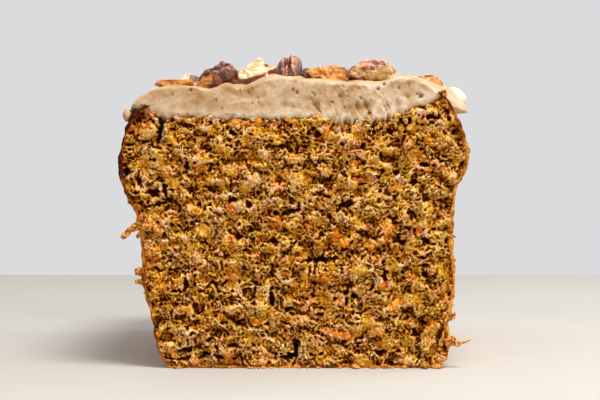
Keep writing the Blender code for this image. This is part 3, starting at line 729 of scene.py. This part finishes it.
def cut_frosting_relief(x, z):
    """How far the frosting's cut lies behind the cut plane, and how far below the crumb's top it is."""
    share = np.clip((x - left_wall(z)) / (right_wall(z) - left_wall(z)), 0, 1)
    below = crumb_top(share) - smear_reach(x, z) - z
    flat = rows_of(x, 0, z)
    relief = -0.6 * np.exp(-((below + 1.2) / 1.4) ** 2)
    relief += 0.6 * wave(flat + (4, 0, 0), 3.2, 33) + 0.6 * wave(flat * (0.6, 1, 1), 8, 35)
    relief += 0.3 * wave(flat + (9, 0, 0), 1.5, 34) * smooth_step(-25, 5, x)
    ridge_z = 96.1 + 0.9 * face_wave(x, 0, 12, 37)
    ridge = np.exp(-((z - ridge_z) / 0.55) ** 2) * smooth_step(-30, -25, x) * (1 - smooth_step(-4, 2, x))
    creases = np.exp(-(wave(flat * (0.5, 1, 1), 4.5, 39) / 0.05) ** 2) * smooth_step(-10, 5, x)
    dragged = smooth_step(-2, 8, x) * (1 - smooth_step(32, 42, x)) * np.exp(-((below + 2.5) / 2.6) ** 2)
    bent = x + 0.4 * z + 1.2 * wave(flat, 4, 47)
    strokes = face_wave(bent, z * 0.4, 2.3, 45) + 0.5 * face_wave(bent, z * 0.5, 1.1, 46)
    return relief - 0.45 * ridge - 0.3 * creases - 2.0 * dragged * strokes, below


def air_holes():
    draw = random.Random(11)
    extra = [(draw.triangular(-58, 50, 20), draw.uniform(93, 104), draw.uniform(0.15, 0.32))
             for _ in range(MORE_AIR_HOLES)]
    return [*AIR_HOLES, *extra]


FROSTING_COLUMNS = 340
FROSTING_LENGTH_ROWS = 120
FROSTING_SIDE_ROWS = 42
CUT_EDGE_RADIUS = 1.3
HIDDEN_DEPTH = 7.0
PIT_DEPTH = 1.1


def make_frosting(pecan_spots):
    """The whole cap: a top, its rounded sides with the cut face among them, and an underside in the cake."""
    across = np.linspace(0, 1, FROSTING_COLUMNS)
    along = np.linspace(0, 1, FROSTING_LENGTH_ROWS) ** 1.45
    across, along = np.meshgrid(across, along)
    top = frosting_points(across, along, 1.0)
    x, y = top[..., 0], top[..., 1]
    behind = y - CUT
    lift = 0.18 * wave(rows_of(x, y, 0), 5, 3) + 0.12 * wave(rows_of(x * 0.3, y, 0), 2.2, 8)
    for spot_x, spot_y, radius in pecan_spots:
        near = np.hypot(x - spot_x, y - spot_y) / radius
        lift = np.maximum(lift, 0.95 * np.exp(-near ** 4))
    inside = np.minimum(np.minimum(across, 1 - across) * 120, (1 - along) * LOAF_LENGTH)
    top[..., 2] += lift * smooth_step(0, 8, inside)
    back, lower = rounded(np.maximum(behind, 0), np.zeros(behind.shape), CUT_EDGE_RADIUS)
    top[..., 1] += back - behind
    top[..., 2] -= lower
    rows, columns = across.shape
    border = border_of(rows, columns)
    flat = top.reshape(-1, 3)
    border_across, border_along = across.ravel()[border], along.ravel()[border]
    at_cut = border_along == 0
    crest = frosting_points(border_across, border_along, 1.0)
    points, numbers = [flat], list(border)
    faces = grid_faces(rows, columns)
    count = len(flat)
    shades = [np.full(count, 0.5)]
    steps = [(0.0, 1 - row / FROSTING_SIDE_ROWS) for row in range(1, FROSTING_SIDE_ROWS + 1)]
    steps += [(inset, 0.0) for inset in (0.035, 0.09)]
    for inset, up in steps:
        loop = frosting_points(np.clip(border_across, inset, 1 - inset),
                               np.where(at_cut, 0, np.clip(border_along, 0, 1 - inset)), up)
        drop = np.maximum(crest[:, 2] - loop[:, 2], 0)
        cut_back, cut_lower = rounded(np.zeros(len(loop)), drop, CUT_EDGE_RADIUS)
        relief, below = cut_frosting_relief(loop[:, 0], loop[:, 2])
        hidden = smooth_step(-0.3, 4.0, below)
        # Painted light and shade on the cut face: sunk parts darker and raised parts lighter, a painted
        # highlight along the top rim and another at the hem over the crumb, and painted shade towards the
        # left end.
        rim_and_hem_highlight = 0.35 * np.exp(-((drop - 0.9) / 0.8) ** 2) * smooth_step(-10, 0, loop[:, 0])
        left_shade = 0.16 * (1 - smooth_step(-48, -18, loop[:, 0]))
        rim_and_hem_highlight += 0.3 * np.exp(-((below - 0.8) / 1.1) ** 2)
        shades.append(np.where(at_cut, 0.5 - 0.36 * relief + rim_and_hem_highlight - left_shade, 0.5))
        near_side = smooth_step(0, 0.02, np.minimum(border_across, 1 - border_across))
        relief = relief * near_side * smooth_step(0.3, 2.0, drop)
        loop[at_cut, 1] += (cut_back + relief)[at_cut]
        cleared = CUT + HIDDEN_DEPTH * hidden
        loop[:, 1] = np.where(loop[:, 1] < cleared, cleared + 0.02 * (loop[:, 1] - CUT), loop[:, 1])
        loop[at_cut, 2] -= (cut_lower - drop)[at_cut]
        loop[at_cut, 1] += inset * 60
        following = list(range(count, count + len(loop)))
        faces += band_faces(numbers, following)
        points.append(loop)
        numbers = following
        count += len(loop)
    faces.append(numbers)
    everything = np.concatenate(points)
    pit = np.zeros(len(everything))
    front = everything[:, 1] < CUT + 2.5
    for hole_x, hole_z, radius in air_holes():
        near = front & (np.hypot(everything[:, 0] - hole_x, everything[:, 2] - hole_z) < 2.2 * radius)
        reach = np.hypot(everything[near, 0] - hole_x, everything[near, 2] - hole_z) / radius
        pit[near] = np.maximum(pit[near], 1 - smooth_step(0.5, 1.5, reach))
    everything[:, 1] += pit * PIT_DEPTH
    return mesh_object("frosting_cap", everything, faces, pit=pit, shade=np.concatenate(shades))


def make_frosting_lobes():
    """Lumps of frosting pushed over the edge by the knife."""
    heap = Heap()
    sphere, faces = ball(5)
    for number, (x, back, z, *radii) in enumerate(FROSTING_KNOBS):
        rough = 1 + 0.16 * wave(sphere, 1.1, number * 9.1)
        points = sphere * rough[:, None] * np.array(radii) + (x, CUT + back, z)
        heap.add(points, faces)
    lobes = heap.mesh("frosting_lobes")
    layer = lobes.data.attributes.new("shade", "FLOAT", "POINT")
    layer.data.foreach_set("value", np.repeat(KNOB_PAINTED_LIGHT, len(sphere)).astype(np.float32))
    return lobes


# The pecans

def pecan_reach(part, length, width, *_):
    return max(part[0] * length, part[1] * width) / 2 + PECAN_ROOM


def scattered_pecans():
    """The pecans behind the shown row, by the same rule as their solids."""
    draw = random.Random(PECAN_SEED)
    parts = [(0.5, 1.0), (0.65, 1.0), (0.6, 0.62), (0.38, 1.0), (0.96, 1.0)]
    taken = [(x, back, pecan_reach(*size)) for x, back, _, _, _, *size in SHOWN_PECANS]
    for number in range(MORE_PECANS):
        part = parts[number % len(parts)]
        size = (draw.uniform(22, 26), draw.uniform(11.5, 13.5), draw.uniform(6.2, 8.6))
        upside_down = 180 if draw.random() < 0.3 else 0
        tilt = (draw.uniform(0, 360), draw.uniform(-14, 14), upside_down + draw.uniform(-22, 22))
        radius = pecan_reach(part, *size)
        spot = None
        while spot is None or is_blocked(*spot, radius, taken):
            spot = (draw.uniform(-51, 48), draw.uniform(17, LOAF_LENGTH - 16))
        taken.append((*spot, radius))
        yield *spot, *tilt, part, *size


def is_blocked(x, back, radius, taken):
    bare = back < BARE_BACK and not BARE_LEFT < x < BARE_RIGHT
    return bare or any(math.hypot(x - a, back - b) < radius + r for a, b, r in taken)


def pecan_body(points, length, width, height, seed, wrinkled, grooved):
    """Below 0 inside half a pecan, for rows of points in mm. Its ridged back is up."""
    along = points[:, 0] / (length / 2)
    taper = (1 - 0.3 * along ** 2) * np.maximum(1 - along ** 2, 0.04) ** -0.17
    side = points[:, 1] / (width / 2 * taper)
    wobble = 0.16 * wave(rows_of(along * 2.2, side, seed), 1.0)
    groove = grooved * np.exp(-((side + wobble) / 0.12) ** 2)
    wrinkles = 0.05 * np.cos((side + wobble) * 13)
    wrinkles += 0.22 * wave(rows_of(along * 1.5, side * 3.4, seed + 3), 1.0)
    wrinkles += 0.16 * wave(rows_of(along * 5.5, side * 3.5, seed + 5), 1.0)
    wrinkles *= wrinkled
    belly_groove = 0.5 * np.exp(-((side + wobble) / 0.22) ** 2)
    rise = np.where(points[:, 2] > 0, 0.62 * (1 - groove + wrinkles), 0.38 * (1 - belly_groove + wrinkles))
    up = points[:, 2] / (height * np.maximum(rise, 0.05))
    edge = 1 + 0.05 * wave(rows_of(along * 3, side * 3, seed + 7), 1.0)
    return np.sqrt(along ** 2 + side ** 2 + up ** 2) / edge - 1, groove - wrinkles


def make_pecan(number, shape, turn, part, length, width, height):
    """A broken piece of half a pecan: its skin and its rough broken faces, in the piece's own axes."""
    sphere, faces = shape
    kept_along, kept_across = part
    seed = number * 5.7
    form = (length, width, height, seed, PECAN_WRINKLES.get(number, 1.0), PECAN_GROOVES.get(number, 0.32))
    break_roughness = PECAN_BREAK_ROUGHNESS.get(number, 1.0)
    centre = np.array([(kept_along / 2 - 0.5) * length, (kept_across / 2 - 0.5) * width, 0.12 * height])
    breaks = []
    if kept_along < 1:
        breaks.append(((blend(-0.5, 0.5, kept_along) * length, 0, 0), (1, 0.25, 0.15)))
    if kept_across < 1:
        breaks.append(((0, blend(-0.5, 0.5, kept_across) * width, 0), (0.1, 1, 0.2)))
    for offset, facing in PECAN_BREAKS.get(number, []):
        breaks.append((centre + np.array(offset) @ turn, np.array(facing) @ turn))

    def broken(points):
        worst = np.full(len(points), -99.0)
        for place, normal in breaks:
            normal = np.array(normal) / np.linalg.norm(normal)
            rough = 0.9 * wave(points, 2.6, seed) + 0.35 * wave(points, 1.0, seed + 4)
            worst = np.maximum(worst, (points - place) @ normal + rough * break_roughness)
        return worst

    near, far = np.zeros(len(sphere)), np.full(len(sphere), length)
    for _ in range(PECAN_HALVINGS):
        middle = (near + far) / 2
        points = centre + sphere * middle[:, None]
        outside = np.maximum(pecan_body(points, *form)[0], broken(points)) > 0
        far = np.where(outside, middle, far)
        near = np.where(outside, near, middle)
    points = centre + sphere * near[:, None]
    groove = pecan_body(points, *form)[1]
    bare = smooth_step(-0.35, -0.05, broken(points))
    return points, faces, groove, bare


def make_pecans():
    """Every piece of pecan in the place of its solid. Returns where they press into the frosting."""
    shape = ball(5)
    spots = []
    material = pecan_material()
    pecans = [*SHOWN_PECANS, *scattered_pecans()]
    for number, (_, _, turn, pitch, roll, part, *size) in enumerate(pecans, 1):
        node = f"pecan_{number:02d}"
        rotation = np.array(Euler([math.radians(a) for a in (roll, pitch, turn)]).to_matrix())
        points, faces, groove, bare = make_pecan(number, shape, rotation, part, *size)
        turned = points @ rotation.T
        low, high = (np.array(corner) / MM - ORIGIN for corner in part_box(node))
        centre = (low + high) / 2
        move = centre - (turned.min(0) + turned.max(0)) / 2
        move[2] = high[2] - turned[:, 2].max()
        obj = mesh_object(f"nut_{number:02d}", turned + move, faces, groove=groove, bare=bare,
                          tint=np.full(len(points), PECAN_SKIN.get(number, (number * 0.618) % 1.0)),
                          toast=np.full(len(points), PECAN_TOAST.get(number, (number * 0.381) % 1.0)))
        finish_piece(obj, material, "pecan", node)
        spots.append((centre[0], centre[1], min((high - low)[:2]) / 2 + 1.5))
    return spots


# Materials

class Field:
    """What a shader node puts out. Sums and products of fields make further nodes."""

    def __init__(self, paint, socket):
        self.paint, self.socket = paint, socket

    def math(self, operation, other=0.0):
        return self.paint.add("Math", {0: self, 1: other}, operation=operation)

    def __add__(self, other):
        return self.math("ADD", other)

    def __sub__(self, other):
        return self.math("SUBTRACT", other)

    def __mul__(self, other):
        return self.math("MULTIPLY", other)

    __rmul__ = __mul__

    def ranged(self, low, high, to_low=0.0, to_high=1.0):
        """This field with its range from low to high eased into another, and held beyond the ends."""
        inputs = {"Value": self, "From Min": low, "From Max": high, "To Min": to_low, "To Max": to_high}
        return self.paint.add("MapRange", inputs, "Result", interpolation_type="SMOOTHSTEP")

    def ramp(self, *stops):
        """A colour for this field, from (value, colour) stops."""
        colour = self.paint.add("ValToRGB", {"Fac": self}, "Color")
        elements = colour.socket.node.color_ramp.elements
        while len(elements) < len(stops):
            elements.new(0.5)
        for element, (at, shade) in zip(elements, stops):
            element.position = at
            element.color = (*shade, 1)
        return colour

    def mixed(self, colour, share, blend_type="MIX"):
        """This colour with a share of another mixed in."""
        if not isinstance(colour, Field):
            colour = (*colour, 1)
        return self.paint.add("Mix", {0: share, 6: self, 7: colour}, 2, data_type="RGBA",
                              blend_type=blend_type)

    def tinted(self, colour, share):
        """This colour multiplied by another as far as the share says."""
        return self.mixed(colour, share, "MULTIPLY")

    def bump(self, strength, distance):
        """The surface's direction with this field as relief, distance mm deep."""
        inputs = {"Height": self, "Strength": strength, "Distance": distance * MM}
        return self.paint.add("Bump", inputs, "Normal")


class Paint:
    """A material and its nodes, which lie in mm on the object."""

    def __init__(self, name, **values):
        self.material = bpy.data.materials.new(name)
        self.material.use_nodes = True
        self.tree = self.material.node_tree
        self.shader = self.tree.nodes["Principled BSDF"]
        for key, value in values.items():
            self.shader.inputs[key.replace("_", " ")].default_value = value
        self.place = self.stretched(self.add("TexCoord", {}, "Object"), (1 / MM, 1 / MM, 1 / MM))

    def add(self, kind, inputs, output=0, **settings):
        """A node's output. An input is a value, or a field that is linked to it."""
        made = self.tree.nodes.new("ShaderNode" + kind)
        for key, value in settings.items():
            setattr(made, key, value)
        for key, value in inputs.items():
            if isinstance(value, Field):
                self.tree.links.new(value.socket, made.inputs[key])
            else:
                made.inputs[key].default_value = value
        return Field(self, made.outputs[output])

    def stretched(self, place, scale):
        return self.add("VectorMath", {0: place, 1: scale}, operation="MULTIPLY")

    def axis(self, name):
        return self.add("SeparateXYZ", {0: self.place}, name)

    def attribute(self, name):
        return self.add("Attribute", {}, "Fac", attribute_name=name)

    def noise(self, scale, detail=3.0, roughness=0.55, stretch=None):
        place = self.stretched(self.place, stretch) if stretch else self.place
        inputs = {"Vector": place, "Scale": scale, "Detail": detail, "Roughness": roughness}
        return self.add("TexNoise", inputs, "Fac")

    def spots(self, scale, core, edge):
        """1 in the middle of random spots and 0 between them."""
        away = self.add("TexVoronoi", {"Vector": self.place, "Scale": scale}, "Distance")
        return away.ranged(core, edge, 1.0, 0.0)

    def foam_walls(self, scale):
        """1 on the curled walls of a fine foam and 0 in its pores."""
        away = (self.noise(scale, 1.0) - 0.5).math("ABSOLUTE")
        return away.ranged(0.0, 0.085, 1.0, 0.0)

    def finished(self, colour, normal=None, roughness=None):
        """The material, with these fields linked to its shader."""
        for name, field in (("Base Color", colour), ("Normal", normal), ("Roughness", roughness)):
            if field:
                self.tree.links.new(field.socket, self.shader.inputs[name])
        return self.material


def crumb_material():
    paint = Paint("baked_crumb", Roughness=0.62, Specular_IOR_Level=0.05)
    walls, fine_walls = paint.foam_walls(0.55), paint.foam_walls(0.95)
    grain = paint.noise(1.6)
    glint_specks = paint.spots(1.05, 0.12, 0.42)
    patchy = paint.noise(0.32, 2.0).ranged(0.36, 0.62, 0.35, 1.35)
    # Painted light: the foam walls and small spots lighten the tone, standing in for lit walls and glints on
    # the moist crumb.
    lit_walls_and_glints = 0.11 * walls + 0.26 * glint_specks + 0.24 * fine_walls
    # Painted shade and light: the torn face's hollows, lumps and holes darken or lighten the tone.
    tone = 0.58 * paint.attribute("cavity") + 0.44 * paint.attribute("lump") + lit_walls_and_glints * patchy
    tone = tone + 0.66 * grain + paint.noise(0.055, 1.0).ranged(0.3, 0.7, -0.09, 0.09)
    tone = 1.12 * tone - 0.64 - 0.20 * paint.attribute("dark")
    colour = tone.ramp((0.0, (0.07, 0.007, 0.0)), (0.25, (0.23, 0.045, 0.0)), (0.5, (0.53, 0.18, 0.003)),
                       (0.75, (0.90, 0.445, 0.062)), (1.0, (1.0, 0.73, 0.385)))
    golden = paint.noise(0.24, 2.0).ranged(0.51, 0.60) * tone.ranged(0.1, 0.4, 0.0, 0.62)
    colour = colour.mixed((0.76, 0.355, 0.026), golden)
    colour = colour.tinted((1.0, 0.62, 0.30), 0.35 * paint.noise(0.13, 2.0).ranged(0.54, 0.68))
    colour = colour.tinted((0.86, 0.89, 0.62), 0.24 * paint.noise(0.11, 2.0).ranged(0.5, 0.66))
    hue = paint.noise(0.26, 3.0, 0.6)
    colour = colour.tinted((1.0, 1.0, 0.45), hue.ranged(0.52, 0.36, 0.0, 0.85))
    colour = colour.tinted((1.0, 0.88, 1.62), hue.ranged(0.50, 0.66, 0.0, 0.85))
    crust = paint.attribute("crust")
    # Painted light: the crust's browning fades towards the right, so that edge reads as lit from the right.
    browned = crust.ranged(0.0, 1.0) * paint.axis("X").ranged(0, 50, 0.75, 0.5)
    colour = colour.tinted((0.80, 0.46, 0.25), browned)
    colour = colour.tinted((0.42, 0.33, 0.36), crust.ranged(1.0, 1.6, 0.0, 0.8))
    colour = colour.mixed((0.55, 0.37, 0.22), 0.85 * paint.attribute("smear"))
    relief = walls + 0.4 * fine_walls + 0.8 * grain + 0.5 * glint_specks
    return paint.finished(colour, relief.bump(0.9, 0.4), grain.ranged(0.35, 0.65, 0.45, 0.75))


def crust_material():
    """Golden brown, darker towards the top and at the left of the cut, and lighter at the right of it as
    painted light from that side.
    """
    paint = Paint("baked_crust", Roughness=0.6, Specular_IOR_Level=0.06)
    mottle = paint.noise(0.09, 5.0, 0.62)
    fine = paint.noise(0.9, 4.0, 0.65)
    pores = paint.foam_walls(0.5)
    spots = paint.spots(0.3, 0.10, 0.24)
    sideways, along, height = [paint.axis(name) for name in "XYZ"]
    browned = (height + 40.0 * mottle).ranged(72, 112)
    near_cut = along.ranged(-62, -72)
    scorched = along.ranged(-73.6, -74.2) * paint.noise(0.45).ranged(0.42, 0.58, 0.0, 0.22)
    tone = 1.1 * mottle + (fine - 0.5) * near_cut.ranged(0, 1, 0.5, 0.9) + 0.12 * pores
    tone = tone - 0.30 * browned - 0.16 * spots - scorched
    tone = tone - sideways.ranged(-62, -48, 0.14, 0.0) * browned
    # Painted light: the crust by the cut is made lighter at the right, as lit from the right.
    tone = tone + sideways.ranged(40, 52, 0.0, 0.20) * near_cut + 0.05
    colour = tone.ramp((0.2, (0.050, 0.008, 0.001)), (0.42, (0.20, 0.043, 0.002)),
                       (0.62, (0.48, 0.165, 0.011)), (0.85, (0.78, 0.36, 0.05)))
    relief = fine + 0.3 * pores + 1.5 * mottle - 0.5 * spots
    return paint.finished(colour, relief.bump(0.8, 0.6), fine.ranged(0.3, 0.7, 0.42, 0.7))


def flake_material():
    paint = Paint("torn_flake", Roughness=0.6, Specular_IOR_Level=0.25)
    grain = paint.noise(0.8, 4.0, 0.65)
    tone = grain.ranged(0.3, 0.7, 0.1, 0.8) + 0.2 * paint.foam_walls(0.7) + 0.15 * paint.attribute("tint")
    colour = tone.ramp((0.2, (0.12, 0.022, 0.001)), (0.42, (0.34, 0.092, 0.005)),
                       (0.66, (0.68, 0.245, 0.020)), (0.95, (0.95, 0.54, 0.16)))
    return paint.finished(colour, grain.bump(0.9, 0.5))


def carrot_material():
    paint = Paint("carrot", Roughness=0.55, Specular_IOR_Level=0.08)
    grain = paint.noise(0.9)
    tone = 0.4 * paint.attribute("tint") + grain
    colour = tone.ramp((0.35, (0.28, 0.050, 0.002)), (0.65, (0.62, 0.150, 0.006)),
                       (0.9, (0.86, 0.34, 0.030)))
    return paint.finished(colour, grain.bump(0.5, 0.3))


def frosting_material():
    paint = Paint("frosting", Roughness=0.48, Specular_IOR_Level=0.35, Subsurface_Weight=0.25,
                  Subsurface_Radius=(1.0, 0.6, 0.35), Subsurface_Scale=0.002)
    streak = paint.noise(0.45, stretch=(0.5, 1, 1))
    tone = 0.5 * paint.noise(0.09) + 0.35 * streak + 0.15 * paint.noise(0.9)
    # The shade attribute brings in painted light and shade: the cut's relief, the rim and hem highlights,
    # the darker left end and the two lobes.
    tone = tone + 0.3 * (paint.noise(2.0, 2.0) - 0.5) + 0.45 * paint.attribute("shade") - 0.225
    colour = tone.ramp((0.25, (0.31, 0.150, 0.045)), (0.42, (0.43, 0.250, 0.107)),
                       (0.55, (0.53, 0.362, 0.208)), (0.75, (0.71, 0.585, 0.445)))
    # Painted shade: the air holes are coloured dark brown inside, standing in for the shade in them.
    colour = colour.mixed((0.22, 0.11, 0.05), 0.85 * paint.attribute("pit"))
    return paint.finished(colour, streak.bump(0.4, 0.3))


def pecan_material():
    paint = Paint("pecan", Roughness=0.45, Specular_IOR_Level=0.42)
    grain = paint.noise(0.9, 4.0, 0.6)
    ridge = paint.attribute("groove").ranged(0.16, -0.12)
    tone = 0.6 * ridge + 0.95 * grain + 0.36 * paint.attribute("tint") - 0.36
    skin = tone.ramp((0.32, (0.045, 0.009, 0.003)), (0.54, (0.16, 0.034, 0.010)),
                     (0.76, (0.36, 0.110, 0.042)), (1.0, (0.70, 0.34, 0.20)))
    stripes = paint.noise(0.5, 2.0, stretch=(0.2, 1, 2.6))
    pale = 0.65 * grain + 0.4 * paint.noise(0.3, 2.0) + 0.55 * stripes - 0.30
    pale = pale - 0.24 * paint.attribute("toast")
    flesh = pale.ramp((0.12, (0.28, 0.070, 0.008)), (0.28, (0.58, 0.22, 0.028)),
                      (0.43, (0.66, 0.40, 0.14)), (0.58, (0.82, 0.68, 0.46)))
    bare = paint.attribute("bare")
    return paint.finished(skin.mixed(flesh, bare), grain.bump(0.6, 0.4), bare.ranged(0.0, 1.0, 0.34, 0.7))


def stage_material():
    paint = Paint("floor", Roughness=0.8)
    colour = paint.noise(0.01, 2.0).ramp((0.3, (0.47, 0.445, 0.395)), (0.7, (0.50, 0.475, 0.42)))
    return paint.finished(colour)


# The stage, light and camera

FLOOR_REACH = 1500.0
FLOOR_BACK = 396.0


def make_floor():
    side, back = FLOOR_REACH, FLOOR_BACK
    points = np.array([(-side, -side, 0), (side, -side, 0), (side, back, 0), (-side, back, 0)])
    floor = mesh_object("floor", points, [[0, 1, 2, 3]])
    floor.data.materials.append(stage_material())


def area_light(name, place, aim, size, power):
    data = bpy.data.lights.new(name, "AREA")
    data.shape = "DISK"
    data.size = size
    data.energy = power
    lamp = bpy.data.objects.new(name, data)
    lamp.location = place
    lamp.rotation_euler = (Vector(aim) - Vector(place)).to_track_quat("-Z", "Y").to_euler()
    bpy.context.scene.collection.objects.link(lamp)


def make_light():
    world = bpy.data.worlds.new("studio")
    world.use_nodes = True
    background = world.node_tree.nodes["Background"]
    background.inputs["Color"].default_value = (0.708, 0.708, 0.722, 1)
    background.inputs["Strength"].default_value = 1.0
    bpy.context.scene.world = world
    area_light("top", (0.15, -0.30, 0.78), (0, -0.06, 0.05), 0.32, 6.5)
    area_light("front", (0.35, -0.72, 0.42), (0, -0.06, 0.05), 0.5, 1.7)
    area_light("right", (0.55, 0.25, 0.45), (0, 0, 0.09), 0.4, 1.5)


def make_camera():
    data = bpy.data.cameras.new("camera")
    data.sensor_width = SENSOR_WIDTH
    data.lens = SENSOR_WIDTH * CAMERA_DISTANCE / PICTURE_WIDTH
    data.clip_start = 0.01
    camera = bpy.data.objects.new("camera", data)
    place = (np.array((CAMERA_X, CUT - CAMERA_DISTANCE, CAMERA_HEIGHT)) + ORIGIN) * MM
    aim = (np.array((CAMERA_X, CUT, AIM_HEIGHT)) + ORIGIN) * MM
    camera.location = place
    camera.rotation_euler = Vector(aim - place).to_track_quat("-Z", "Y").to_euler()
    bpy.context.scene.collection.objects.link(camera)
    bpy.context.scene.camera = camera


def main():
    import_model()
    bpy.context.scene.view_settings.view_transform = "Standard"
    finish_piece(make_crumb(), crumb_material(), "baked_crumb", "cake")
    finish_piece(make_crust(), crust_material(), "baked_crumb", "cake")
    finish_piece(make_flakes(), flake_material(), "baked_crumb")
    finish_piece(make_carrots(), carrot_material(), "baked_crumb")
    finish_piece(make_loose_crumbs(), flake_material(), "baked_crumb")
    spots = make_pecans()
    frosting = frosting_material()
    finish_piece(make_frosting(spots), frosting, "frosting", "frosting")
    finish_piece(make_frosting_lobes(), frosting, "frosting")
    make_floor()
    make_light()
    make_camera()


main()
